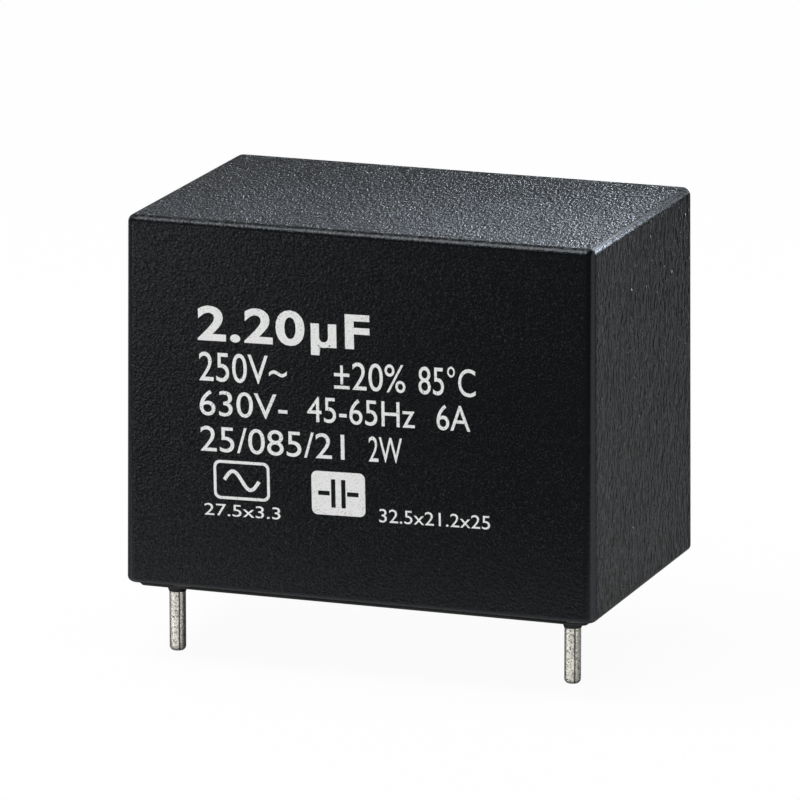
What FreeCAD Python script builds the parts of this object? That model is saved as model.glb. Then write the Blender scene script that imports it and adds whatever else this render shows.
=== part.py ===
import FreeCAD, Part
import math
import os
import Sketcher

# Box film capacitor with two radial wire leads, in millimetres and degrees.
# Z = 0 is the plane that the capacitor seats on, at the middle of the moulded box.
# +Z goes up to the closed top, -Y is the printed front and the leads leave towards -Z.

sizes = {
    # moulded box, open underneath
    "case_width": 32.5,
    "case_depth": 21.2,
    "case_height": 24.7,
    "case_draft": 0.5,
    "side_wall": 0.7,
    "top_wall": 0.9,
    "upright_edge_radius": 0.85,
    "top_edge_radius": 0.5,
    "rim_edge_slope": 0.14,
    "inside_upright_radius": 0.5,
    "inside_top_radius": 0.4,
    # cast fill that closes the box, and the collars it leaves on the leads
    "fill_proud": 0.3,
    "fill_edge_slope": 0.12,
    "collar_width": 1.46,
    "collar_height": 0.82,
    "collar_lip": 0.03,
    # wound roll of film, and the clear fill left round it
    "roll_roundness": 0.47,
    "fill_beside_roll": 0.9,
    "fill_above_roll": 1.2,
    "fill_below_roll": 2.7,
    # sprayed metal on the ends of the roll
    "spray_thickness": 0.55,
    "spray_edge_slope": 0.25,
    # wire leads: straight below the fill, bent inside it to slant across to the middle of the roll's ends
    "lead_diameter": 1.1,
    "lead_from_end": 2.5,
    "lead_from_front": 3.3,
    "left_lead_reach": 4.9,
    "right_lead_reach": 4.6,
    "lead_tip_radius": 0.33,
    "lead_bend_radius": 2,
    "lead_sunk_in_spray": 0.15,
    # solder over the inner end of each lead
    "solder_width": 4.2,
    "solder_over_wire": 0.3,
    "solder_past_wire": 1,
    "solder_edge_slope": 0.6,
}

document = FreeCAD.newDocument("film_capacitor")
sheet = document.addObject("Spreadsheet::Sheet", "sizes")
for row, (alias, value) in enumerate(sizes.items(), start=1):
    sheet.set("A%d" % row, alias)
    sheet.set("B%d" % row, str(value))
    sheet.setAlias("B%d" % row, alias)
document.recompute()

# Sizes that follow from the ones above
narrowing = "sizes.case_height * tan(sizes.case_draft * 1 deg)"
inside_width = "(sizes.case_width - 2 * sizes.side_wall)"
inside_depth = "(sizes.case_depth - 2 * sizes.side_wall)"
inside_height = "(sizes.case_height - sizes.top_wall)"
lead_aside = "(sizes.case_width / 2 - sizes.lead_from_end)"
lead_forward = "(sizes.case_depth / 2 - sizes.lead_from_front)"
roll_depth = "(%s - 2 * sizes.fill_beside_roll - 2 * %s)" % (inside_depth, narrowing)
roll_height = "(sizes.fill_proud + %s - sizes.fill_above_roll - sizes.fill_below_roll)" % inside_height
roll_corner = "(sizes.roll_roundness * min(%s; %s))" % (roll_depth, roll_height)
roll_middle = "(sizes.fill_below_roll + %s / 2)" % roll_height
spray_face = "(%s - sizes.lead_diameter / 2 + sizes.lead_sunk_in_spray)" % lead_aside
roll_end = "(%s - sizes.spray_thickness)" % spray_face


def number(expression):
    return float(sheet.evalExpression(expression))


def bind(thing, bindings):
    for path, expression in bindings.items():
        thing.setExpression(path, expression)


def new_body(name):
    body = document.addObject("PartDesign::Body", name)
    body.Label = name
    return body


def plane_of(body, role):
    return next(plane for plane in body.Origin.OriginFeatures if plane.Role == role)


def new_sketch(body, name, role, offsets=None):
    sketch = body.newObject("Sketcher::SketchObject", name)
    sketch.AttachmentSupport = [(plane_of(body, role), "")]
    sketch.MapMode = "FlatFace"
    bind(sketch, {"AttachmentOffset.Base.%s" % axis: text for axis, text in (offsets or {}).items()})
    return sketch


def point(across, along):
    return FreeCAD.Vector(across, along, 0)


def arc(centre, radius, start, end):
    circle = Part.Circle(centre, FreeCAD.Vector(0, 0, 1), radius)
    return Part.ArcOfCircle(circle, start, end)


def dimension(sketch, constraint, name, expression):
    index = sketch.addConstraint(constraint)
    sketch.renameConstraint(index, name)
    sketch.setExpression("Constraints.%s" % name, expression)


def draw_rounded_rectangle(sketch, width, depth, radius):
    # Four lines and four corner arcs, run anticlockwise and centred on the sketch's origin
    quarter = math.pi / 2
    x, y, r = number(width) / 2, number(depth) / 2, number(radius)
    lines = (
        ((r - x, -y), (x - r, -y)),
        ((x, r - y), (x, y - r)),
        ((x - r, y), (r - x, y)),
        ((-x, y - r), (-x, r - y)),
    )
    centres = ((x - r, r - y), (x - r, y - r), (r - x, y - r), (r - x, r - y))
    for start, end in lines:
        sketch.addGeometry(Part.LineSegment(point(*start), point(*end)), False)
    for turn, centre in enumerate(centres):
        sketch.addGeometry(arc(point(*centre), r, (turn - 1) * quarter, turn * quarter), False)
    for side in range(4):
        direction = "Horizontal" if side % 2 == 0 else "Vertical"
        sketch.addConstraint(Sketcher.Constraint(direction, side))
        sketch.addConstraint(Sketcher.Constraint("Tangent", side, 2, 4 + side, 1))
        sketch.addConstraint(Sketcher.Constraint("Tangent", 4 + side, 2, (side + 1) % 4, 1))
    for corner in (5, 6, 7):
        sketch.addConstraint(Sketcher.Constraint("Equal", 4, corner))
    sketch.addConstraint(Sketcher.Constraint("Symmetric", 0, 1, 2, 1, -1, 1))
    dimension(sketch, Sketcher.Constraint("DistanceX", 3, 1, 1, 1, 2 * x), "width", width)
    dimension(sketch, Sketcher.Constraint("DistanceY", 0, 1, 2, 1, 2 * y), "depth", depth)
    dimension(sketch, Sketcher.Constraint("Radius", 4, r), "corner", radius)


def draw_circle(sketch, diameter):
    sketch.addGeometry(Part.Circle(point(0, 0), FreeCAD.Vector(0, 0, 1), number(diameter) / 2), False)
    sketch.addConstraint(Sketcher.Constraint("Coincident", 0, 3, -1, 1))
    dimension(sketch, Sketcher.Constraint("Diameter", 0, number(diameter)), "across", diameter)


def extrude(body, kind, name, sketch, length, draft=None, **settings):
    feature = body.newObject("PartDesign::%s" % kind, name)
    feature.Profile = sketch
    feature.setExpression("Length", length)
    if draft:
        feature.setExpression("TaperAngle", draft)
    for setting, value in settings.items():
        setattr(feature, setting, value)
    document.recompute()
    return feature


def edges_at(feature, axis, level):
    # Names of the edges that lie wholly in the plane where that axis has that value
    found = []
    for index, edge in enumerate(feature.Shape.Edges, start=1):
        low = getattr(edge.BoundBox, axis + "Min")
        high = getattr(edge.BoundBox, axis + "Max")
        if abs(low - level) < 1e-4 and abs(high - level) < 1e-4:
            found.append("Edge%d" % index)
    return found


def round_edges(body, name, base, edges, radius):
    fillet = body.newObject("PartDesign::Fillet", name)
    fillet.Base = (base, edges)
    fillet.setExpression("Radius", radius)
    document.recompute()
    return fillet


def slope_edges(body, name, base, edges, size):
    chamfer = body.newObject("PartDesign::Chamfer", name)
    chamfer.Base = (base, edges)
    chamfer.setExpression("Size", size)
    document.recompute()
    return chamfer


def cut(name, base, tool):
    result = document.addObject("Part::Cut", name)
    result.Label = name
    result.Base = base
    result.Tool = tool
    return result


# The moulded box: a drafted block, its edges rounded, hollowed from below
def make_case():
    body = new_body("case")
    outline = new_sketch(body, "case_outline", "XY_Plane", {"z": "sizes.fill_proud"})
    draw_rounded_rectangle(outline, "sizes.case_width", "sizes.case_depth", "sizes.upright_edge_radius")
    block = extrude(body, "Pad", "case_block", outline, "sizes.case_height", "-sizes.case_draft")
    rim = number("sizes.fill_proud")
    top = number("sizes.fill_proud + sizes.case_height")
    topped = round_edges(body, "case_top_edges", block, edges_at(block, "Z", top), "sizes.top_edge_radius")
    slope_edges(body, "case_rim_edges", topped, edges_at(topped, "Z", rim), "sizes.rim_edge_slope")
    hollow = new_sketch(body, "hollow_outline", "XY_Plane", {"z": "sizes.fill_proud"})
    draw_rounded_rectangle(hollow, inside_width, inside_depth, "sizes.inside_upright_radius")
    hollowed = extrude(
        body, "Pocket", "case_hollow", hollow, inside_height, "-sizes.case_draft", Reversed=True
    )
    ceiling = number("sizes.fill_proud + %s" % inside_height)
    round_edges(
        body, "case_inside_edges", hollowed, edges_at(hollowed, "Z", ceiling), "sizes.inside_top_radius"
    )
    return body


# The flattened roll of film, wound about an axis along X
def make_roll():
    body = new_body("film_winding")
    section = new_sketch(body, "roll_section", "YZ_Plane", {"y": roll_middle})
    draw_rounded_rectangle(section, roll_depth, roll_height, roll_corner)
    extrude(body, "Pad", "roll_block", section, "2 * %s" % roll_end, SideType="Symmetric")
    return body


# One wire: straight up from its tip to the fill, then bent back to slant up across the roll's end
def make_lead(side, name):
    reach = "sizes.%s_lead_reach" % name
    body = new_body("lead_%s" % name)
    bind(body, {
        "Placement.Base.x": "%d * %s" % (side, lead_aside),
        "Placement.Base.y": "-%s" % lead_forward,
    })
    low, bend = -number(reach), number("sizes.lead_bend_radius")
    back, high = number(lead_forward), number(roll_middle)
    # The slant touches the bend's circle where its length and the bend radius make a right angle
    to_end = math.hypot(back - bend, high)
    slant = math.atan2(high, back - bend) - math.asin(bend / to_end)
    turn = point(bend - bend * math.sin(slant), bend * math.cos(slant))
    route = new_sketch(body, "lead_%s_route" % name, "YZ_Plane")
    route.addGeometry(Part.LineSegment(point(0, low), point(0, 0)), False)
    route.addGeometry(arc(point(bend, 0), bend, math.pi / 2 + slant, math.pi), False)
    route.addGeometry(Part.LineSegment(turn, point(back, high)), False)
    route.addConstraint(Sketcher.Constraint("Tangent", 0, 2, 1, 2))
    route.addConstraint(Sketcher.Constraint("Tangent", 1, 1, 2, 1))
    route.addConstraint(Sketcher.Constraint("Vertical", 0))
    route.addConstraint(Sketcher.Constraint("PointOnObject", 0, 1, -2))
    route.addConstraint(Sketcher.Constraint("PointOnObject", 0, 2, -1))
    dimension(route, Sketcher.Constraint("Radius", 1, bend), "bend", "sizes.lead_bend_radius")
    dimension(route, Sketcher.Constraint("DistanceY", 0, 1, -1, 1, -low), "reach", reach)
    dimension(route, Sketcher.Constraint("DistanceX", -1, 1, 2, 2, back), "back", lead_forward)
    dimension(route, Sketcher.Constraint("DistanceY", -1, 1, 2, 2, high), "rise", roll_middle)
    section = new_sketch(body, "lead_%s_section" % name, "XY_Plane", {"z": "-%s" % reach})
    draw_circle(section, "sizes.lead_diameter")
    document.recompute()
    wire = body.newObject("PartDesign::AdditivePipe", "lead_%s_wire" % name)
    wire.Profile = section
    wire.Spine = (route, ["Edge1", "Edge2", "Edge3"])
    document.recompute()
    round_edges(body, "lead_%s_tip" % name, wire, edges_at(wire, "Z", low), "sizes.lead_tip_radius")
    return body


# The sprayed metal on one end of the roll, with the lead pressed a little way into it
def make_end_spray(side, name, lead):
    body = new_body("end_spray_%s_layer" % name)
    bind(body, {"Placement.Base.x": "%d * %s" % (side, roll_end)})
    section = new_sketch(body, "end_spray_%s_section" % name, "YZ_Plane", {"y": roll_middle})
    draw_rounded_rectangle(section, roll_depth, roll_height, roll_corner)
    layer = extrude(
        body, "Pad", "end_spray_%s_block" % name, section, "sizes.spray_thickness", Reversed=side < 0
    )
    outer = number("%d * sizes.spray_thickness" % side)
    slope_edges(
        body, "end_spray_%s_edge" % name, layer, edges_at(layer, "X", outer), "sizes.spray_edge_slope"
    )
    return cut("end_spray_%s" % name, body, lead)


# A bead of solder over the inner end of one lead
def make_solder_joint(side, name, lead):
    body = new_body("solder_joint_%s_bead" % name)
    bind(body, {
        "Placement.Base.x": "%d * %s" % (side, spray_face),
        "Placement.Base.y": "sizes.solder_past_wire - sizes.solder_width / 2",
        "Placement.Base.z": roll_middle,
    })
    section = new_sketch(body, "solder_joint_%s_section" % name, "YZ_Plane")
    draw_circle(section, "sizes.solder_width")
    thickness = "(sizes.lead_diameter - sizes.lead_sunk_in_spray + sizes.solder_over_wire)"
    bead = extrude(
        body, "Pad", "solder_joint_%s_block" % name, section, thickness, Reversed=side < 0
    )
    outer = side * number(thickness)
    slope_edges(
        body, "solder_joint_%s_edge" % name, bead, edges_at(bead, "X", outer), "sizes.solder_edge_slope"
    )
    return cut("solder_joint_%s" % name, body, lead)


# The fill: all of the box's hollow, a thin step below the rim and a collar round each lead,
# less everything that is cast into it
def make_resin(cast_in):
    body = new_body("resin_casting")
    outline = new_sketch(body, "casting_outline", "XY_Plane", {"z": "sizes.fill_proud"})
    draw_rounded_rectangle(outline, inside_width, inside_depth, "sizes.inside_upright_radius")
    block = extrude(body, "Pad", "casting_block", outline, inside_height, "-sizes.case_draft")
    ceiling = number("sizes.fill_proud + %s" % inside_height)
    round_edges(body, "casting_top_edges", block, edges_at(block, "Z", ceiling), "sizes.inside_top_radius")
    step_outline = new_sketch(body, "step_outline", "XY_Plane")
    draw_rounded_rectangle(step_outline, inside_width, inside_depth, "sizes.inside_upright_radius")
    step = extrude(body, "Pad", "casting_step", step_outline, "sizes.fill_proud")
    slope_edges(body, "casting_step_edges", step, edges_at(step, "Z", 0), "sizes.fill_edge_slope")
    for side, name in ((-1, "left"), (1, "right")):
        profile = new_sketch(body, "collar_%s_profile" % name, "XZ_Plane", {
            "x": "%d * %s" % (side, lead_aside),
            "z": lead_forward,
        })
        draw_collar(profile)
        document.recompute()
        collar = body.newObject("PartDesign::Revolution", "collar_%s" % name)
        collar.Profile = profile
        collar.ReferenceAxis = (profile, ["V_Axis"])
        collar.Angle = 360
        document.recompute()
    contents = document.addObject("Part::MultiFuse", "cast_in_pieces")
    contents.Shapes = cast_in
    return cut("potting_resin", body, contents)


def draw_collar(sketch):
    # Half section of a collar: full width at the seating plane, bulging in to the wire below it
    root = number("sizes.collar_width / 2")
    lip = number("sizes.lead_diameter / 2 + sizes.collar_lip")
    tall = number("sizes.collar_height")
    buried = number("sizes.fill_proud")
    bulge = ((root - lip) ** 2 + tall ** 2) / (2 * (root - lip))
    sweep = FreeCAD.Vector(1, 0, 0).getAngle(FreeCAD.Vector(lip - root + bulge, -tall, 0))
    corners = ((lip, -tall), (0, -tall), (0, buried), (root, buried), (root, 0))
    for start, end in zip(corners, corners[1:]):
        sketch.addGeometry(Part.LineSegment(point(*start), point(*end)), False)
    sketch.addGeometry(arc(point(root - bulge, 0), bulge, -sweep, 0), False)
    for line in range(3):
        sketch.addConstraint(Sketcher.Constraint("Coincident", line, 2, line + 1, 1))
    sketch.addConstraint(Sketcher.Constraint("Coincident", 3, 2, 4, 2))
    sketch.addConstraint(Sketcher.Constraint("Coincident", 4, 1, 0, 1))
    for line, direction in enumerate(("Horizontal", "Vertical", "Horizontal", "Vertical")):
        sketch.addConstraint(Sketcher.Constraint(direction, line))
    sketch.addConstraint(Sketcher.Constraint("PointOnObject", 1, 1, -2))
    sketch.addConstraint(Sketcher.Constraint("PointOnObject", 3, 2, -1))
    sketch.addConstraint(Sketcher.Constraint("PointOnObject", 4, 3, -1))
    dimension(sketch, Sketcher.Constraint("DistanceX", -1, 1, 3, 2, root), "root", "sizes.collar_width / 2")
    dimension(
        sketch, Sketcher.Constraint("DistanceX", -1, 1, 0, 1, lip), "lip",
        "sizes.lead_diameter / 2 + sizes.collar_lip",
    )
    dimension(sketch, Sketcher.Constraint("DistanceY", 0, 1, -1, 1, tall), "tall", "sizes.collar_height")
    dimension(sketch, Sketcher.Constraint("DistanceY", -1, 1, 2, 1, buried), "buried", "sizes.fill_proud")


def check(name, thing):
    for state in ("Invalid", "Error"):
        if state in thing.State:
            raise RuntimeError("%s is in state %s" % (name, state))


pieces = {"case": make_case(), "film_winding": make_roll()}
for side, name in ((-1, "left"), (1, "right")):
    lead = make_lead(side, name)
    pieces["lead_%s" % name] = lead
    pieces["end_spray_%s" % name] = make_end_spray(side, name, lead)
    pieces["solder_joint_%s" % name] = make_solder_joint(side, name, lead)
pieces["potting_resin"] = make_resin([piece for name, piece in pieces.items() if name != "case"])
document.recompute()

for thing in document.Objects:
    check(thing.Name, thing)
    if thing.isDerivedFrom("Sketcher::SketchObject") and not thing.FullyConstrained:
        raise RuntimeError("%s is not fully constrained" % thing.Name)
for name, piece in pieces.items():
    if piece.Shape.isNull() or not piece.Shape.isValid() or len(piece.Shape.Solids) != 1:
        raise RuntimeError("%s is not one valid solid" % name)

os.makedirs("parts", exist_ok=True)
for name, piece in pieces.items():
    piece.Shape.exportStep("parts/%s.step" % name)
    box = piece.Shape.BoundBox
    print("%-20s volume %9.2f mm3, %6.2f x %6.2f x %6.2f mm, from z %6.2f"
          % (name, piece.Shape.Volume, box.XLength, box.YLength, box.ZLength, box.ZMin))
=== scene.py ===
import math

import bmesh
import bpy
from mathutils import Matrix, Vector


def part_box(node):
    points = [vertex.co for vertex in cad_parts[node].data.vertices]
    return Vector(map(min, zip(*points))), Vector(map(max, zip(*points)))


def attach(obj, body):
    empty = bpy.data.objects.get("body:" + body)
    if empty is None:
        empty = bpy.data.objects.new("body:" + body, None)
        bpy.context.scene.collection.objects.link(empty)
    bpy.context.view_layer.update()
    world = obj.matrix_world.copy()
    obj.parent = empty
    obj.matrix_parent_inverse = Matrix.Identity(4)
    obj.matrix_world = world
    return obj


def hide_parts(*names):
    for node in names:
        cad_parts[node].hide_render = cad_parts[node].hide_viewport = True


# Box film capacitor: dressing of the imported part. Metres, in the part's own frame:
# +Z up from the seating plane, -Y the printed front.
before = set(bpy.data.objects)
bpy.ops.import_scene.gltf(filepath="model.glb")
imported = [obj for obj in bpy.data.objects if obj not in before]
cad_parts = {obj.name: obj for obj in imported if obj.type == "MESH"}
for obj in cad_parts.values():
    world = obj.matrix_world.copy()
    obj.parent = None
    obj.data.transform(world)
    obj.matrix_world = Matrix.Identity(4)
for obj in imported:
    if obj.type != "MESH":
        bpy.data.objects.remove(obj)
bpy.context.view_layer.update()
mm = 0.001
print("frame loaded:", sorted(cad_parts))


# Camera

cameraView = {
    "yaw": 19.70,            # degrees to the right of the printed front
    "pitch": 13.61,          # degrees above the horizon
    "distance": 563.84 * mm,
    "lookAt": Vector((-1.561, 2.172, 10.920)) * mm,
    "lens": 383.31,
    "sensor": 36.0,
    "nearest": 10 * mm,      # clipping
    "farthest": 10,
}


def makeCamera():
    yaw, pitch = math.radians(cameraView["yaw"]), math.radians(cameraView["pitch"])
    data = bpy.data.cameras.new("camera")
    data.lens = cameraView["lens"]
    data.sensor_width = cameraView["sensor"]
    data.clip_start = cameraView["nearest"]
    data.clip_end = cameraView["farthest"]
    camera = bpy.data.objects.new("camera", data)
    level = math.cos(pitch)
    back = Vector((math.sin(yaw) * level, -math.cos(yaw) * level, math.sin(pitch)))
    camera.location = cameraView["lookAt"] + back * cameraView["distance"]
    camera.rotation_euler = (math.pi / 2 - pitch, 0, yaw)
    bpy.context.scene.collection.objects.link(camera)
    bpy.context.scene.camera = camera


makeCamera()
print("camera placed")


# Helpers for node trees and meshes

def addNode(tree, kind, **settings):
    node = tree.nodes.new(kind)
    for name, value in settings.items():
        setattr(node, name, value)
    return node


def setInputs(node, **values):
    for name, value in values.items():
        node.inputs[name].default_value = value


def newMaterial(name):
    material = bpy.data.materials.new(name)
    material.use_nodes = True
    tree = material.node_tree
    return material, tree, tree.nodes["Principled BSDF"]


def objectCoordinates(tree, scale=(1, 1, 1)):
    # The piece's own coordinates, stretched, in millimetres
    coordinates = addNode(tree, "ShaderNodeTexCoord")
    mapping = addNode(tree, "ShaderNodeMapping")
    mapping.inputs["Scale"].default_value = [axis / mm for axis in scale]
    tree.links.new(coordinates.outputs["Object"], mapping.inputs["Vector"])
    return mapping.outputs["Vector"]


def noise(tree, vector, scale, detail=2.0, roughness=0.5, distortion=0.0):
    node = addNode(tree, "ShaderNodeTexNoise")
    setInputs(node, Scale=scale, Detail=detail, Roughness=roughness, Distortion=distortion)
    tree.links.new(vector, node.inputs["Vector"])
    return node.outputs["Fac"]


def ramp(tree, value, stops):
    node = addNode(tree, "ShaderNodeValToRGB")
    elements = node.color_ramp.elements
    while len(elements) < len(stops):
        elements.new(1.0)
    for element, (place, shade) in zip(elements, stops):
        element.position = place
        element.color = (shade, shade, shade, 1) if isinstance(shade, float) else (*shade, 1)
    tree.links.new(value, node.inputs["Fac"])
    return node.outputs["Color"]


def fade(tree, value, window, shades=(0.0, 1.0)):
    # From the first shade to the second while the value passes through a window
    return ramp(tree, value, tuple(zip(window, shades)))


def arithmetic(tree, operation, first, second):
    node = addNode(tree, "ShaderNodeMath", operation=operation)
    for socket, value in zip(node.inputs, (first, second)):
        if isinstance(value, (int, float)):
            socket.default_value = value
        else:
            tree.links.new(value, socket)
    return node.outputs["Value"]


def bump(tree, height, distance, strength=1.0, onto=None):
    node = addNode(tree, "ShaderNodeBump")
    setInputs(node, Distance=distance)
    if isinstance(strength, float):
        setInputs(node, Strength=strength)
    else:
        tree.links.new(strength, node.inputs["Strength"])
    tree.links.new(height, node.inputs["Height"])
    if onto:
        tree.links.new(onto, node.inputs["Normal"])
    return node.outputs["Normal"]


def newPiece(name, mesh, material, slotName, *nodes):
    piece = bpy.data.objects.new(name, mesh)
    bpy.context.scene.collection.objects.link(piece)
    piece.data.materials.clear()
    piece.data.materials.append(material)
    if nodes:
        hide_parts(*nodes)
    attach(piece, "root")
    return piece


# Moulded case

case = {
    "draft": math.tan(math.radians(0.5)),
    "wall": 0.7 * mm,
    "topWall": 0.9 * mm,
    "uprightRadius": 0.85 * mm,
    "topRadius": 0.5 * mm,
    "rimRadius": 0.38 * mm,
    "insideUprightRadius": 0.5 * mm,
    "insideTopRadius": 0.4 * mm,
    "cornerSteps": 12,       # faces round each upright edge
    "filletSteps": 8,        # faces across each rounded edge
    "leastRadius": 0.05 * mm,
    "hold": 0.04 * mm,       # narrow face beside each rounded edge, which keeps the flats flat
    "colour": (0.0028, 0.0030, 0.0033, 1),
    # pale flecks: partly the grain's own tone, partly painted glints of its relief, tinted like the
    # top's sheen
    "fleckAndGlintColour": (0.062, 0.066, 0.074, 1),
    "flecks": 6.3,           # on the top, per millimetre
    "fleckWindow": (0.46, 0.62),    # noise values between which a fleck fades in
    "strokes": 6.0,          # on the two ends, pale strokes painted as highlights on the wrinkles' crests
    "strokeStretch": (1.0, 1.0, 0.7),    # below 1 along an axis, they are longer along it
    "strokeWindow": (0.47, 0.60),
    "creaseShadeWindow": (0.42, 0.54),   # painted shade: the hollows between wrinkles stay black
    "points": 8.5,           # on the front and back
    "pointWindow": (0.58, 0.66),
    "clouds": 0.16,          # patches that differ a little in roughness
    "cloudShare": 0.3,
    "topFleckGlints": 0.75,       # how much of the pale fleck colour shows on each kind of face, partly as painted glints and highlights
    "endCrestHighlights": 0.75,
    "frontFleckGlints": 0.2,
    "upEdgeHighlightShare": 0.8,
    "endLineHighlight": 0.6,             # painted highlight: a paler line along the edges of the two ends
    "sheenTint": (0.88, 0.95, 1.0, 1),
    "roughness": 0.20,
    "roughnessSpread": 0.05,
    "roughnessWindow": (0.35, 0.65),
    "topRoughness": 0.15,    # added on the top
    "endRoughness": 0.10,    # and on the two ends
    "specular": 0.27,
    "grain": 5.4,            # bumps per millimetre
    "grainStretch": (1.0, 0.4, 1.0),
    "crown": (0.035, -0.11, 0.035),    # slope of the flats at their edges, along X, Y and Z
    "grainDepth": 0.30 * mm,
    "topGrain": 0.75,        # share of that grain on the top
    "sideGrain": 0.28,       # on the front and back
    "endGrain": 0.05,        # on the two ends, which have their wrinkles
    "edgeGrain": 0.15,       # and on the rounded edges
    "specks": 9.0,           # finer bumps in the grain
    "speckDepth": 0.08 * mm,
    "wrinkles": 2.5,         # larger ones, on the two ends only
    "wrinkleStretch": (1.0, 1.0, 0.5),
    "wrinkleDepth": 0.24 * mm,
    # kinds of face, told apart by parts of the surface's normal
    "facing": (0.6, 0.9),    # the top along Z, the ends along X
    "flat": (0.97, 0.999),   # any flat, along its own axis
    "upEdge": (0.3, 0.6),    # rounded edges that look somewhat up, where a highlight is painted
    "endHighlightLine": ((0.62, 0.0), (0.76, 1.0), (0.93, 1.0), (0.97, 0.0)),    # a line beside each end, for the painted edge highlight
}


def roundedLoop(halfWidth, halfDepth, radius, height, steps):
    # Points of a rounded rectangle, anticlockwise from above
    points = []
    for quarter, (across, along) in enumerate(((1, -1), (1, 1), (-1, 1), (-1, -1))):
        centre = Vector((across * (halfWidth - radius), along * (halfDepth - radius), height))
        for step in range(steps + 1):
            angle = (quarter - 1 + step / steps) * math.pi / 2
            points.append(centre + radius * Vector((math.cos(angle), math.sin(angle), 0)))
    return points


def loftLoops(mesh, loops):
    # Bridges loops of equal length in turn, and closes the first and the last with a fan
    rings = [[mesh.verts.new(point) for point in loop] for loop in loops]
    for lower, upper in zip(rings, rings[1:]):
        for index in range(len(lower)):
            following = (index + 1) % len(lower)
            mesh.faces.new((lower[index], lower[following], upper[following], upper[index]))
    for ring, flip in ((rings[0], True), (rings[-1], False)):
        middle = mesh.verts.new(sum((vertex.co for vertex in ring), Vector()) / len(ring))
        for index in range(len(ring)):
            pair = (ring[index], ring[(index + 1) % len(ring)])
            mesh.faces.new((*(reversed(pair) if flip else pair), middle))


def shellLoops(low, high):
    # Outside of the case from its rim to its top, and the inside from its ceiling back to the rim
    rim, top = low.z, high.z
    width, depth = (high.x - low.x) / 2, (high.y - low.y) / 2
    steps, hold = case["cornerSteps"], case["hold"]

    def least(radius):
        return max(radius, case["leastRadius"])

    def outside(height, inset=0.0):
        taper = (height - rim) * case["draft"] + inset
        return width - taper, depth - taper, least(case["uprightRadius"] - taper), height

    def inside(height):
        taper = (height - rim) * case["draft"]
        across, along = width - case["wall"] - taper, depth - case["wall"] - taper
        return across, along, least(case["insideUprightRadius"] - taper), height

    loops = []
    rimRadius, topRadius, insideTop = case["rimRadius"], case["topRadius"], case["insideTopRadius"]
    for step in range(case["filletSteps"] + 1):
        turn = math.pi / 2 * step / case["filletSteps"]
        inset = rimRadius * (1 - math.cos(turn))
        loops.append(outside(rim + rimRadius * (1 - math.sin(turn)), inset))
    loops.reverse()
    loops.append(outside(rim + rimRadius + hold))
    loops.append(outside(top - topRadius - hold))
    for step in range(case["filletSteps"] + 1):
        turn = math.pi / 2 * step / case["filletSteps"]
        across, along, radius, height = outside(top - topRadius * (1 - math.sin(turn)))
        inset = topRadius * (1 - math.cos(turn))
        loops.append((across - inset, along - inset, least(radius - inset), height))
    across, along, radius, height = loops[-1]
    loops.append((across - hold, along - hold, radius, height))
    outer = [roundedLoop(*loop[:3], loop[3], steps) for loop in loops]

    ceiling = top - case["topWall"]
    loops = [inside(rim), inside(ceiling - insideTop)]
    for step in range(1, case["filletSteps"] + 1):
        turn = math.pi / 2 * step / case["filletSteps"]
        across, along, radius, height = inside(ceiling - insideTop * (1 - math.sin(turn)))
        inset = insideTop * (1 - math.cos(turn))
        loops.append((across - inset, along - inset, least(radius - inset), height))
    inner = [roundedLoop(*loop[:3], loop[3], steps) for loop in loops]
    return outer, inner


caseLow, caseHigh = (Vector(corner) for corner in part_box("case"))


def makeCaseMesh():
    outer, inner = shellLoops(caseLow, caseHigh)
    mesh = bmesh.new()
    loftLoops(mesh, list(reversed(inner)) + outer)
    bmesh.ops.recalc_face_normals(mesh, faces=mesh.faces)
    data = bpy.data.meshes.new("caseShell")
    mesh.to_mesh(data)
    mesh.free()
    data.polygons.foreach_set("use_smooth", [True] * len(data.polygons))
    return data


def faceMasks(tree):
    # 1 on the ends, on the top, on every flat, on what looks somewhat up
    # and on a line beside each end, for the painted edge highlight
    geometry = addNode(tree, "ShaderNodeNewGeometry")
    axes = addNode(tree, "ShaderNodeSeparateXYZ")
    tree.links.new(geometry.outputs["Normal"], axes.inputs["Vector"])
    along = [arithmetic(tree, "ABSOLUTE", axes.outputs[axis], 0.0) for axis in ("X", "Y", "Z")]
    onEnds = fade(tree, along[0], case["facing"])
    onTop = fade(tree, axes.outputs["Z"], case["facing"])
    most = arithmetic(tree, "MAXIMUM", arithmetic(tree, "MAXIMUM", along[0], along[1]), along[2])
    flats = fade(tree, most, case["flat"])
    upEdges = fade(tree, axes.outputs["Z"], case["upEdge"])
    endHighlightLines = ramp(tree, along[0], case["endHighlightLine"])
    return onEnds, onTop, flats, upEdges, endHighlightLines


def crownHeight(tree, fine):
    # The flats bulge or sink very slightly, which shows only in how light moves over them
    axes = addNode(tree, "ShaderNodeSeparateXYZ")
    tree.links.new(fine, axes.inputs["Vector"])
    height = 0.0
    middles = (0.0, 0.0, (caseLow.z + caseHigh.z) / 2 / mm)
    for axis, middle, size, slope in zip("XYZ", middles, caseHigh - caseLow, case["crown"]):
        away = arithmetic(tree, "SUBTRACT", axes.outputs[axis], middle)
        bend = slope / (size / mm)
        square = arithmetic(tree, "MULTIPLY", arithmetic(tree, "MULTIPLY", away, away), bend)
        height = arithmetic(tree, "SUBTRACT", height, square)
    return height


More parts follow.
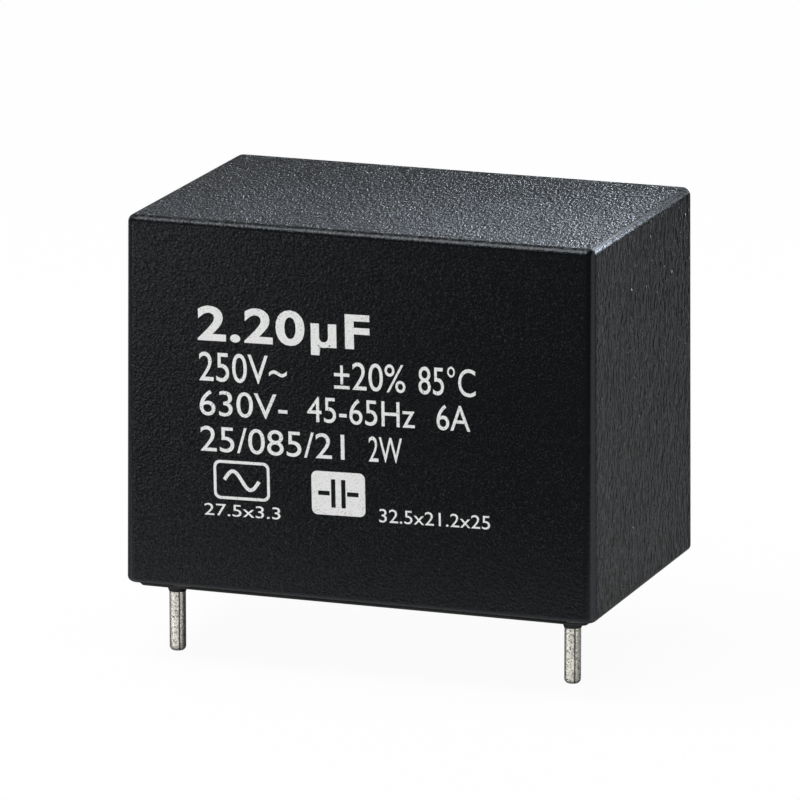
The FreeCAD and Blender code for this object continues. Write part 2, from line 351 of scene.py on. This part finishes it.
def makeCaseMaterial():
    material, tree, shader = newMaterial("mouldedBlackPlastic")
    shader.inputs["Specular IOR Level"].default_value = case["specular"]
    shader.inputs["Specular Tint"].default_value = case["sheenTint"]

    def times(first, second):
        return arithmetic(tree, "MULTIPLY", first, second)

    def plus(first, second):
        return arithmetic(tree, "ADD", first, second)

    fine = objectCoordinates(tree)
    drawn = objectCoordinates(tree, case["grainStretch"])
    skin = noise(tree, drawn, case["grain"], detail=2.5, roughness=0.6, distortion=0.4)
    specks = noise(tree, drawn, case["specks"], detail=1.0)
    cloud = noise(tree, fine, case["clouds"], detail=3.0)
    # Wrinkles of the moulded skin on the two ends, longer than wide
    upward = objectCoordinates(tree, case["wrinkleStretch"])
    wrinkles = noise(tree, upward, case["wrinkles"], detail=1.5, distortion=0.8)
    onEnds, onTop, flats, upEdges, endHighlightLines = faceMasks(tree)
    rounds = arithmetic(tree, "SUBTRACT", 1.0, flats)
    normal = bump(tree, crownHeight(tree, fine), mm)
    creases = times(wrinkles, onEnds)
    normal = bump(tree, creases, case["wrinkleDepth"], strength=flats, onto=normal)
    # The top is grained more deeply than the front and back, and the ends less
    deep = times(onTop, case["topGrain"] - case["sideGrain"])
    deep = plus(deep, times(onEnds, case["endGrain"] - case["sideGrain"]))
    deep = times(flats, plus(deep, case["sideGrain"]))
    deep = plus(deep, times(rounds, case["edgeGrain"]))
    normal = bump(tree, skin, case["grainDepth"], strength=deep, onto=normal)
    normal = bump(tree, specks, case["speckDepth"], strength=deep, onto=normal)
    tree.links.new(normal, shader.inputs["Normal"])

    # Pale flecks in the black, most on the top, drawn out upright on the ends: partly the grain's
    # own tone, partly painted glints and highlights
    flecks = noise(tree, drawn, case["flecks"], detail=2.0, roughness=0.6)
    flecks = fade(tree, flecks, case["fleckWindow"])
    taller = objectCoordinates(tree, case["strokeStretch"])
    strokes = noise(tree, taller, case["strokes"], detail=2.0, distortion=0.6)
    strokes = fade(tree, strokes, case["strokeWindow"])
    # Painted highlight and shade: strokes only on the wrinkles' crests, their hollows left black
    strokes = times(strokes, fade(tree, wrinkles, case["creaseShadeWindow"]))
    points = noise(tree, fine, case["points"], detail=2.0)
    points = fade(tree, points, case["pointWindow"])
    upright = arithmetic(tree, "SUBTRACT", 1.0, plus(onTop, onEnds))
    topFleckGlint = times(times(flecks, onTop), case["topFleckGlints"])
    paintedCrestHighlight = times(times(strokes, onEnds), case["endCrestHighlights"])
    frontFleckGlint = times(times(points, upright), case["frontFleckGlints"])
    # Painted highlight, in the fleck pattern, on the rounded edges that look up
    paintedEdgeHighlight = times(times(flecks, upEdges), case["upEdgeHighlightShare"])
    pale = times(flats, plus(topFleckGlint, plus(paintedCrestHighlight, frontFleckGlint)))
    # Painted highlight: a paler line on the rounded edges beside each end
    pale = plus(pale, times(rounds, plus(paintedEdgeHighlight, times(endHighlightLines, case["endLineHighlight"]))))
    mix = addNode(tree, "ShaderNodeMix", data_type="RGBA")
    tree.links.new(pale, mix.inputs["Factor"])
    mix.inputs["A"].default_value = case["colour"]
    mix.inputs["B"].default_value = case["fleckAndGlintColour"]
    tree.links.new(mix.outputs["Result"], shader.inputs["Base Color"])

    patches = plus(times(skin, 1 - case["cloudShare"]), times(cloud, case["cloudShare"]))
    middle, spread = case["roughness"], case["roughnessSpread"]
    matt = fade(tree, patches, case["roughnessWindow"], (middle + spread, middle - spread))
    matt = plus(matt, times(onTop, case["topRoughness"]))
    matt = plus(matt, times(onEnds, case["endRoughness"]))
    tree.links.new(matt, shader.inputs["Roughness"])
    return material


newPiece("caseShell", makeCaseMesh(), makeCaseMaterial(), "case", "case")
print("case made")


# Cast fill under the case

fill = {
    "colour": (0.005, 0.0051, 0.0054, 1),
    "roughness": 0.42,
    "specular": 0.28,
    "waves": 0.30,           # per millimetre
    "waveDepth": 0.6 * mm,
    "bubbles": 1.3,
    "bubbleWindow": (0.24, 0.31),
    "bubbleDepth": 0.08 * mm,
    "specks": 6.0,
    "speckDepth": 0.012 * mm,
    "patches": 0.5,
    "patchWindow": (0.35, 0.65),
    "glossier": 0.12,        # change of roughness, down and up, from patch to patch
    "duller": 0.1,
}


def makeFillMaterial():
    material, tree, shader = newMaterial("castBlackEpoxy")
    shader.inputs["Base Color"].default_value = fill["colour"]
    shader.inputs["Specular IOR Level"].default_value = fill["specular"]
    fine = objectCoordinates(tree)
    # Cast surface: slow waves, small sunk bubbles and patches that dried duller
    swell = noise(tree, fine, fill["waves"], detail=2.0)
    bubbles = noise(tree, fine, fill["bubbles"], detail=1.0)
    sunk = fade(tree, bubbles, fill["bubbleWindow"])
    specks = noise(tree, fine, fill["specks"], detail=2.0)
    normal = bump(tree, swell, fill["waveDepth"])
    normal = bump(tree, sunk, fill["bubbleDepth"], onto=normal)
    normal = bump(tree, specks, fill["speckDepth"], onto=normal)
    tree.links.new(normal, shader.inputs["Normal"])
    patches = noise(tree, fine, fill["patches"], detail=4.0)
    span = (fill["roughness"] - fill["glossier"], fill["roughness"] + fill["duller"])
    dull = fade(tree, patches, fill["patchWindow"], span)
    tree.links.new(dull, shader.inputs["Roughness"])
    return material


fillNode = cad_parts["potting_resin"]
fillNode.data.materials.clear()
fillNode.data.materials.append(makeFillMaterial())
print("fill finished")


# Tinned wire leads, each swept along its bent line

lead = {
    "radius": 0.55 * mm,
    "tipRadius": 0.33 * mm,
    "bendRadius": 2.0 * mm,
    "bendSteps": 24,
    "pitch": 0.05 * mm,      # spacing of the rings along the wire
    "sides": 32,
    "dent": 0.006 * mm,      # unevenness of the tinned skin
    "dentScale": 1.6,
    "colour": (0.98, 0.95, 0.86),
    "patchShade": 0.50,      # shares of that colour in the duller patches,
    "pitShade": 0.06,        # in the pits
    "darkReflectionShade": 0.10,       # and in the painted dark reflection streak
    "mottle": 7.0,           # patches of the skin per millimetre
    "mottleWindow": (0.40, 0.52),
    "pits": 10.0,
    "pitWindow": (0.33, 0.40),
    "pitStrength": 0.5,
    "skinDepth": 0.03 * mm,
    "roughness": (0.40, 0.26),       # where the mottle is low and where it is high
    "roughnessWindow": (0.3, 0.7),
    "darkReflectionAcross": (0.941, 0.337, 0.0),    # direction from which the painted streak's place is counted
    "darkReflection": 0.22,            # its place: the share of the normal that points that way
    "darkReflectionWaves": 3.0,        # how often it wanders, per millimetre
    "darkReflectionStretch": (1.0, 1.0, 0.5),
    "darkReflectionWander": 0.16,      # and how far
    "darkReflectionWindow": (0.06, 0.15),      # distance from its middle over which it fades out
}


def newSocket(tree, name, kind, value):
    made = tree.interface.new_socket(name=name, in_out="INPUT", socket_type=kind)
    if value is not None:
        made.default_value = value
    return made.identifier


def makeWireTree(material):
    tree = bpy.data.node_groups.new("tinnedWire", "GeometryNodeTree")
    newSocket(tree, "Route", "NodeSocketGeometry", None)
    tree.interface.new_socket(name="Wire", in_out="OUTPUT", socket_type="NodeSocketGeometry")
    names = {}
    for name in ("Wire Radius", "Tip Radius", "Bend Radius", "Ring Spacing", "Dent Depth", "Seed"):
        names[name] = newSocket(tree, name, "NodeSocketFloat", 0.0)
    source = addNode(tree, "NodeGroupInput")
    result = addNode(tree, "NodeGroupOutput")

    def calculate(operation, first, second):
        return arithmetic(tree, operation, first, second)

    bent = addNode(tree, "GeometryNodeFilletCurve", mode="POLY")
    bent.inputs["Count"].default_value = lead["bendSteps"]
    tree.links.new(source.outputs["Route"], bent.inputs["Curve"])
    tree.links.new(source.outputs["Bend Radius"], bent.inputs["Radius"])
    even = addNode(tree, "GeometryNodeResampleCurve", mode="LENGTH")
    tree.links.new(bent.outputs["Curve"], even.inputs["Curve"])
    tree.links.new(source.outputs["Ring Spacing"], even.inputs["Length"])

    # Radius along the wire: full, except over the rounded tip
    along = addNode(tree, "GeometryNodeSplineParameter")
    tip = source.outputs["Tip Radius"]
    left = calculate("MAXIMUM", calculate("SUBTRACT", tip, along.outputs["Length"]), 0.0)
    tipSquare, leftSquare = calculate("MULTIPLY", tip, tip), calculate("MULTIPLY", left, left)
    squares = calculate("MAXIMUM", calculate("SUBTRACT", tipSquare, leftSquare), 0.0)
    drop = calculate("SUBTRACT", tip, calculate("SQRT", squares, 0.0))
    radius = calculate("SUBTRACT", source.outputs["Wire Radius"], drop)
    scale = calculate("DIVIDE", radius, source.outputs["Wire Radius"])

    ring = addNode(tree, "GeometryNodeCurvePrimitiveCircle")
    ring.inputs["Resolution"].default_value = lead["sides"]
    tree.links.new(source.outputs["Wire Radius"], ring.inputs["Radius"])
    swept = addNode(tree, "GeometryNodeCurveToMesh")
    swept.inputs["Fill Caps"].default_value = True
    tree.links.new(even.outputs["Curve"], swept.inputs["Curve"])
    tree.links.new(ring.outputs["Curve"], swept.inputs["Profile Curve"])
    tree.links.new(scale, swept.inputs["Scale"])

    # Shallow dents, always inwards
    place = addNode(tree, "GeometryNodeInputPosition")
    enlarged = addNode(tree, "ShaderNodeVectorMath", operation="SCALE")
    enlarged.inputs["Scale"].default_value = lead["dentScale"] / mm
    tree.links.new(place.outputs["Position"], enlarged.inputs["Vector"])
    dents = addNode(tree, "ShaderNodeTexNoise", noise_dimensions="4D")
    tree.links.new(enlarged.outputs["Vector"], dents.inputs["Vector"])
    tree.links.new(source.outputs["Seed"], dents.inputs["W"])
    depth = calculate("MULTIPLY", dents.outputs["Fac"], source.outputs["Dent Depth"])
    inward = addNode(tree, "ShaderNodeVectorMath", operation="SCALE")
    outward = addNode(tree, "GeometryNodeInputNormal")
    tree.links.new(outward.outputs["Normal"], inward.inputs["Vector"])
    tree.links.new(calculate("MULTIPLY", depth, -1.0), inward.inputs["Scale"])
    dented = addNode(tree, "GeometryNodeSetPosition")
    tree.links.new(swept.outputs["Mesh"], dented.inputs["Geometry"])
    tree.links.new(inward.outputs["Vector"], dented.inputs["Offset"])

    smooth = addNode(tree, "GeometryNodeSetShadeSmooth")
    real = addNode(tree, "GeometryNodeRealizeInstances")
    finish = addNode(tree, "GeometryNodeSetMaterial")
    finish.inputs["Material"].default_value = material
    tree.links.new(dented.outputs["Geometry"], smooth.inputs["Geometry"])
    tree.links.new(smooth.outputs["Geometry"], real.inputs["Geometry"])
    tree.links.new(real.outputs["Geometry"], finish.inputs["Geometry"])
    tree.links.new(finish.outputs["Geometry"], result.inputs["Wire"])
    return tree, names


def makeWire(tree, names, name, nodeName, material, seed):
    low, high = (Vector(corner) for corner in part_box(nodeName))
    across = (low.x + high.x) / 2
    tip = Vector((across, low.y + lead["radius"], low.z))
    roll = [Vector(corner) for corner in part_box("film_winding")]
    end = Vector((across, 0, (roll[0].z + roll[1].z) / 2))
    # The corner of the route lies where the two straight runs would meet
    bend = lead["bendRadius"]
    reach = end.y - tip.y - bend
    slant = math.atan2(end.z, reach)
    slant -= math.asin(bend / math.hypot(end.z, reach))
    corner = Vector((across, tip.y, bend * math.tan((math.pi / 2 - slant) / 2)))
    curve = bpy.data.curves.new(name, "CURVE")
    curve.dimensions = "3D"
    line = curve.splines.new("POLY")
    line.points.add(2)
    for point, place in zip(line.points, (tip, corner, end)):
        point.co = (*place, 1)
    route = bpy.data.objects.new(name + "Route", curve)
    bpy.context.scene.collection.objects.link(route)
    modifier = route.modifiers.new("wire", "NODES")
    modifier.node_group = tree
    values = {
        "Wire Radius": lead["radius"], "Tip Radius": lead["tipRadius"],
        "Bend Radius": bend, "Ring Spacing": lead["pitch"],
        "Dent Depth": lead["dent"], "Seed": seed,
    }
    for label, value in values.items():
        modifier[names[label]] = value
    seen = bpy.context.evaluated_depsgraph_get()
    mesh = bpy.data.meshes.new_from_object(route.evaluated_get(seen), depsgraph=seen)
    bpy.data.objects.remove(route)
    return newPiece(name, mesh, material, "lead", nodeName)


def makeWireMaterial():
    material, tree, shader = newMaterial("tinnedWireSkin")
    setInputs(shader, Metallic=1.0)
    fine = objectCoordinates(tree)
    mottle = noise(tree, fine, lead["mottle"], detail=3.0, roughness=0.7)
    pits = noise(tree, fine, lead["pits"], detail=1.0)
    # A painted dark reflection streak along the wire, a little uneven
    facing = addNode(tree, "ShaderNodeNewGeometry")
    across = addNode(tree, "ShaderNodeVectorMath", operation="DOT_PRODUCT")
    across.inputs[1].default_value = lead["darkReflectionAcross"]
    tree.links.new(facing.outputs["Normal"], across.inputs[0])
    wander = noise(tree, objectCoordinates(tree, lead["darkReflectionStretch"]), lead["darkReflectionWaves"], detail=2.0)
    wander = arithmetic(tree, "SUBTRACT", wander, 0.5)
    wander = arithmetic(tree, "MULTIPLY", wander, lead["darkReflectionWander"])
    place = arithmetic(tree, "ADD", across.outputs["Value"], wander)
    away = arithmetic(tree, "SUBTRACT", place, lead["darkReflection"])
    darkReflection = arithmetic(tree, "ABSOLUTE", away, 0.0)
    pale = lead["colour"]
    parts = (lead["patchShade"], lead["pitShade"], lead["darkReflectionShade"])
    shades = [tuple(part * channel for channel in pale) for part in parts]
    cover = fade(tree, mottle, lead["mottleWindow"], (shades[0], pale))
    # Darker pits, and the painted dark reflection streak
    layers = ((pits, shades[1], lead["pitWindow"]), (darkReflection, shades[2], lead["darkReflectionWindow"]))
    for value, shade, window in layers:
        mix = addNode(tree, "ShaderNodeMix", data_type="RGBA")
        share = fade(tree, value, window, (1.0, 0.0))
        tree.links.new(share, mix.inputs["Factor"])
        tree.links.new(cover, mix.inputs["A"])
        mix.inputs["B"].default_value = (*shade, 1)
        cover = mix.outputs["Result"]
    tree.links.new(cover, shader.inputs["Base Color"])
    matt = fade(tree, mottle, lead["roughnessWindow"], lead["roughness"])
    tree.links.new(matt, shader.inputs["Roughness"])
    normal = bump(tree, mottle, lead["skinDepth"])
    normal = bump(tree, pits, lead["skinDepth"], strength=lead["pitStrength"], onto=normal)
    tree.links.new(normal, shader.inputs["Normal"])
    return material


wireMaterial = makeWireMaterial()
wireTree, wireSockets = makeWireTree(wireMaterial)
for seed, side in enumerate(("left", "right"), start=1):
    makeWire(wireTree, wireSockets, side + "Lead", "lead_" + side, wireMaterial, float(seed))
print("leads made")


# Printed marks on the front: plain ratings and two simple electrical signs

marks = {
    "tilt": math.radians(1.2),       # the stamp sits a little askew
    "tiltAbout": 12 * mm,            # height of the point about which it is turned
    "thickness": 0.012 * mm,
    "sunk": 0.006 * mm,
    "extrude": 0.02,         # only tells front from back, before the ink gets its thickness
    "capital": 0.7,          # height of a capital in the built-in font
    "boldSpacing": 3.0,      # extra space between letters, as a multiple of the extra stroke
    "curveSteps": 5,
    "cornerSteps": 6,
    "waveSteps": 24,
    "ink": (0.80, 0.80, 0.79),
    "thinInk": (0.12, 0.12, 0.12),
    "inkRoughness": 0.55,
    "specks": 13.0,          # per millimetre
    "bareWindow": (0.32, 0.38),      # noise values between which thin ink becomes full
    # text, then left end, baseline, width and height of a capital in millimetres,
    # then the extra stroke in the font's own units
    "texts": (
        ("2.20µF", -10.9, 17.28, 11.9, 2.35, 0.026),
        ("250V~", -10.86, 14.6, 6.1, 1.95, 0.0),
        ("±20%", -1.5, 14.6, 4.9, 1.85, 0.0),
        ("85°C", 4.3, 14.6, 3.9, 1.85, 0.0),
        ("630V-", -10.87, 12.3, 6.1, 1.7, 0.0),
        ("45-65Hz", -3.4, 12.3, 7.4, 1.7, 0.0),
        ("6A", 5.5, 12.3, 2.3, 1.7, 0.0),
        ("25/085/21", -10.87, 9.9, 10.0, 1.7, 0.0),
        ("2W", 0.8, 9.9, 2.3, 1.7, 0.0),
        ("27.5x3.3", -10.7, 5.62, 5.3, 0.8, 0.0),
        ("32.5x21.2x25", 1.45, 5.9, 7.6, 0.9, 0.0),
    ),
    # a wave in a frame: its place, then loops as left, bottom, width, height, corner radius
    "framePlace": (-10.0, 6.75),
    "frameLoops": ((0, 0, 3.9, 2.6, 0.45), (0.19, 0.19, 3.52, 2.22, 0.3)),
    "wave": (0.75, 1.3, 2.4, 1.2, 0.24),     # left, middle, width, height, stroke width
    # a solid block, with the two plates and stubs of a capacitor left bare
    "blockPlace": (-3.2, 6.15),
    "blockLoops": (
        (0, 0, 3.7, 2.9, 0.4),
        (1.35, 0.5, 0.3, 1.9, 0.05), (2.05, 0.5, 0.3, 1.9, 0.05),
        (0.45, 1.3, 0.8, 0.3, 0.05), (2.45, 1.3, 0.8, 0.3, 0.05),
    ),
}


def placeOnFront(data, left, base):
    # Turns a flat drawing upright, sets its lower left corner and lays it on the drafted wall
    rim = caseLow
    tilt = Matrix.Rotation(marks["tilt"], 3, "Z")
    for vertex in data.vertices:
        flat = tilt @ Vector((vertex.co.x + left, vertex.co.y + base - marks["tiltAbout"], 0))
        up = flat.y + marks["tiltAbout"]
        outward = marks["thickness"] if vertex.co.z > 0 else -marks["sunk"]
        vertex.co = (flat.x, rim.y + (up - rim.z) * case["draft"] - outward, up)


def curveToMesh(curve, name):
    drawing = bpy.data.objects.new(name, curve)
    bpy.context.scene.collection.objects.link(drawing)
    seen = bpy.context.evaluated_depsgraph_get()
    mesh = bpy.data.meshes.new_from_object(drawing.evaluated_get(seen), depsgraph=seen)
    bpy.data.objects.remove(drawing)
    return mesh


def textMesh(text, left, base, width, height, bold):
    curve = bpy.data.curves.new("rating", "FONT")
    curve.body = text
    curve.size = 1.0
    curve.extrude = marks["extrude"]
    curve.resolution_u = marks["curveSteps"]
    curve.offset = bold
    curve.space_character = 1 + marks["boldSpacing"] * bold
    mesh = curveToMesh(curve, "rating")
    low = min(vertex.co.x for vertex in mesh.vertices)
    high = max(vertex.co.x for vertex in mesh.vertices)
    capital = marks["capital"] + 2 * bold
    for vertex in mesh.vertices:
        vertex.co.x = (vertex.co.x - low) * width * mm / (high - low)
        vertex.co.y = (vertex.co.y + bold) * height * mm / capital
    placeOnFront(mesh, left * mm, base * mm)
    return mesh


def loopSpline(curve, points):
    line = curve.splines.new("POLY")
    line.points.add(len(points) - 1)
    for point, (across, up) in zip(line.points, points):
        point.co = (across, up, 0, 1)
    line.use_cyclic_u = True


def roundedOutline(left, bottom, width, height, radius):
    loop = roundedLoop(width / 2, height / 2, radius, 0, marks["cornerSteps"])
    return [(point.x + left + width / 2, point.y + bottom + height / 2) for point in loop]


def signMesh(loops, left, base):
    curve = bpy.data.curves.new("sign", "CURVE")
    curve.dimensions = "2D"
    curve.fill_mode = "BOTH"
    curve.extrude = marks["extrude"]
    for loop in loops:
        loopSpline(curve, loop)
    mesh = curveToMesh(curve, "sign")
    for vertex in mesh.vertices:
        vertex.co.x *= mm
        vertex.co.y *= mm
    placeOnFront(mesh, left * mm, base * mm)
    return mesh


def waveOutline(left, middle, width, height, stroke):
    upper, lower = [], []
    for step in range(marks["waveSteps"] + 1):
        share = step / marks["waveSteps"]
        across = left + width * share
        up = middle + height / 2 * math.sin(2 * math.pi * share)
        lean = math.atan(math.pi * height / width * math.cos(2 * math.pi * share))
        side = (-math.sin(lean) * stroke / 2, math.cos(lean) * stroke / 2)
        upper.append((across + side[0], up + side[1]))
        lower.append((across - side[0], up - side[1]))
    return upper + lower[::-1]


def makeSigns():
    framed = [roundedOutline(*loop) for loop in marks["frameLoops"]]
    framed.append(waveOutline(*marks["wave"]))
    block = [roundedOutline(*loop) for loop in marks["blockLoops"]]
    return [signMesh(framed, *marks["framePlace"]), signMesh(block, *marks["blockPlace"])]


def makeInkMaterial():
    material, tree, shader = newMaterial("whiteStampedInk")
    setInputs(shader, Roughness=marks["inkRoughness"])
    specks = noise(tree, objectCoordinates(tree), marks["specks"], detail=1.5, roughness=0.6)
    cover = fade(tree, specks, marks["bareWindow"], (marks["thinInk"], marks["ink"]))
    tree.links.new(cover, shader.inputs["Base Color"])
    tree.links.new(bump(tree, specks, marks["thickness"]), shader.inputs["Normal"])
    return material


def joinMeshes(name, meshes):
    whole = bmesh.new()
    for mesh in meshes:
        whole.from_mesh(mesh)
        bpy.data.meshes.remove(mesh)
    nearest = 0.0005 * mm
    bmesh.ops.remove_doubles(whole, verts=whole.verts, dist=nearest)
    bmesh.ops.recalc_face_normals(whole, faces=whole.faces)
    data = bpy.data.meshes.new(name)
    whole.to_mesh(data)
    whole.free()
    return data


inkMaterial = makeInkMaterial()
ratings = [textMesh(*row) for row in marks["texts"]]
newPiece("printedRatings", joinMeshes("printedRatings", ratings), inkMaterial, "case")
newPiece("printedSigns", joinMeshes("printedSigns", makeSigns()), inkMaterial, "case")
print("marks printed")


# Pieces sealed inside

inside = {
    # node: material, colour, roughness
    "film_winding": ("woundFilm", (0.62, 0.64, 0.68), 0.25),
    "end_spray_left": ("sprayedMetal", (0.42, 0.43, 0.45), 0.62),
    "end_spray_right": ("sprayedMetal", (0.42, 0.43, 0.45), 0.62),
    "solder_joint_left": ("solderSkin", (0.66, 0.66, 0.65), 0.3),
    "solder_joint_right": ("solderSkin", (0.66, 0.66, 0.65), 0.3),
}
insideGrain = {"bumps": 2.5, "depth": 0.03 * mm, "darker": 0.8, "window": (0.35, 0.65)}


def finishInside():
    made = {}
    for nodeName, (name, colour, rough) in inside.items():
        if name not in made:
            material, tree, shader = newMaterial(name)
            setInputs(shader, Metallic=1.0, Roughness=rough)
            coarse = noise(tree, objectCoordinates(tree), insideGrain["bumps"], detail=3.0)
            dark = tuple(insideGrain["darker"] * channel for channel in colour)
            cover = fade(tree, coarse, insideGrain["window"], (dark, colour))
            tree.links.new(cover, shader.inputs["Base Color"])
            normal = bump(tree, coarse, insideGrain["depth"])
            tree.links.new(normal, shader.inputs["Normal"])
            made[name] = material
        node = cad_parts[nodeName]
        node.data.materials.clear()
        node.data.materials.append(made[name])


finishInside()
print("inside finished")


# Floor, backdrop and lights

studio = {
    "floorSize": 3.0,
    "floorColour": (0.80, 0.80, 0.81, 1),
    "floorRoughness": 0.9,
    "cameraGlow": 0.95,      # share of plain white in what the camera sees of the floor
    "mirrorShare": 0.85,     # share of even glow in what shiny surfaces see of the floor
    "mirrorNear": 1.00,      # how bright that glow is in a strip before the part
    "mirrorFar": 0.215,      # and in one on its right
    "frontStrip": (-27, -22, -9.5, -7.5),    # where along Y, in mm, it rises and falls
    "rightStrip": (13, 17, 48, 64),          # and along X
    "stripScale": 5.0,       # a ramp spans 1 / 5 m of floor, half of it on each side of the part
    "worldFill": 0.52,
    # what shiny surfaces see of the world: height of the direction, brightness
    "mirrorSky": (
        (0.0, 0.26), (0.02, 0.20), (0.08, 0.20), (0.18, 0.26), (0.30, 0.26), (0.46, 0.03),
    ),
    # name, place in mm, aimed at, width and height in mm, watts, colour
    "lamps": (
        ("overhead", (-70, -60, 320), (0, 0, 12), 200, 200, 0.80, (1, 1, 1)),
        ("rearCornerPanel", (16, 125, 60), (14, 0, 25), 22, 18, 0.008, (0.86, 0.92, 1)),
        ("rearPanel", (8, 400, 46), (6, -2, 25), 200, 40, 0.46, (0.75, 0.86, 1)),
        ("leftPanel", (-110, -110, 16), (-14, -10, 12), 60, 60, 0.038, (1, 1, 1)),
    ),
}


def mirrorRays(tree, path):
    kinds = (path.outputs["Is Glossy Ray"], path.outputs["Is Transmission Ray"])
    return arithmetic(tree, "MAXIMUM", *kinds)


def makeFloor():
    mesh = bpy.data.meshes.new("floor")
    half = studio["floorSize"] / 2
    low = min(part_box("lead_left")[0][2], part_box("lead_right")[0][2])
    signs = ((-1, -1), (1, -1), (1, 1), (-1, 1))
    corners = [(across * half, along * half, low) for across, along in signs]
    mesh.from_pydata(corners, [], [(0, 1, 2, 3)])
    floor = bpy.data.objects.new("floor", mesh)
    bpy.context.scene.collection.objects.link(floor)
    material, tree, shader = newMaterial("paleFloor")
    setInputs(shader, Roughness=studio["floorRoughness"])
    shader.inputs["Base Color"].default_value = studio["floorColour"]
    shader.inputs["Specular IOR Level"].default_value = 0.0
    path = addNode(tree, "ShaderNodeLightPath")
    mirror = mirrorRays(tree, path)
    seen = path.outputs["Is Camera Ray"]
    glow = addNode(tree, "ShaderNodeEmission")
    # Shiny surfaces see the glow in a bright strip before the printed front
    # and in a dimmer one on its right
    place = addNode(tree, "ShaderNodeTexCoord")
    axes = addNode(tree, "ShaderNodeSeparateXYZ")
    tree.links.new(place.outputs["Object"], axes.inputs["Vector"])
    strips = []
    scale = studio["stripScale"]
    for axis, name, level in (("Y", "frontStrip", "mirrorNear"), ("X", "rightStrip", "mirrorFar")):
        along = arithmetic(tree, "MULTIPLY", axes.outputs[axis], scale)
        along = arithmetic(tree, "ADD", along, 0.5)
        edges = zip(studio[name], (0.0, 1.0, 1.0, 0.0))
        stops = [(0.5 + scale * edge * mm, studio[level] * share) for edge, share in edges]
        strips.append(ramp(tree, along, stops))
    fade = arithmetic(tree, "MAXIMUM", *strips)
    bright = arithmetic(tree, "MAXIMUM", seen, arithmetic(tree, "MULTIPLY", mirror, fade))
    tree.links.new(bright, glow.inputs["Strength"])
    blend = addNode(tree, "ShaderNodeMixShader")
    share = arithmetic(
        tree, "MAXIMUM", arithmetic(tree, "MULTIPLY", seen, studio["cameraGlow"]),
        arithmetic(tree, "MULTIPLY", mirror, studio["mirrorShare"]),
    )
    tree.links.new(share, blend.inputs["Fac"])
    tree.links.new(shader.outputs["BSDF"], blend.inputs[1])
    tree.links.new(glow.outputs["Emission"], blend.inputs[2])
    tree.links.new(blend.outputs["Shader"], tree.nodes["Material Output"].inputs["Surface"])
    mesh.materials.append(material)


def makeWorld():
    world = bpy.data.worlds.new("studio")
    bpy.context.scene.world = world
    world.use_nodes = True
    tree = world.node_tree
    background = tree.nodes["Background"]
    path = addNode(tree, "ShaderNodeLightPath")
    mirror = mirrorRays(tree, path)
    # Shiny surfaces see a grey horizon and a darker ceiling
    direction = addNode(tree, "ShaderNodeTexCoord")
    axes = addNode(tree, "ShaderNodeSeparateXYZ")
    tree.links.new(direction.outputs["Generated"], axes.inputs["Vector"])
    ceiling = ramp(tree, axes.outputs["Z"], studio["mirrorSky"])
    others = arithmetic(tree, "SUBTRACT", 1.0, mirror)
    even = arithmetic(tree, "MULTIPLY", others, studio["worldFill"])
    strength = arithmetic(tree, "ADD", arithmetic(tree, "MULTIPLY", mirror, ceiling), even)
    strength = arithmetic(tree, "MAXIMUM", strength, path.outputs["Is Camera Ray"])
    background.inputs["Color"].default_value = (1, 1, 1, 1)
    tree.links.new(strength, background.inputs["Strength"])


def makeLamps():
    for name, place, aim, width, height, watts, colour in studio["lamps"]:
        data = bpy.data.lights.new(name, "AREA")
        data.shape = "RECTANGLE"
        data.size = width * mm
        data.size_y = height * mm
        data.energy = watts
        data.color = colour
        lamp = bpy.data.objects.new(name, data)
        lamp.location = Vector(place) * mm
        direction = (Vector(aim) - Vector(place)) * mm
        lamp.rotation_euler = direction.to_track_quat("-Z", "Y").to_euler()
        lamp.visible_camera = False
        bpy.context.scene.collection.objects.link(lamp)


makeFloor()
makeWorld()
makeLamps()
bpy.context.scene.view_settings.view_transform = "Standard"
print("studio lit")
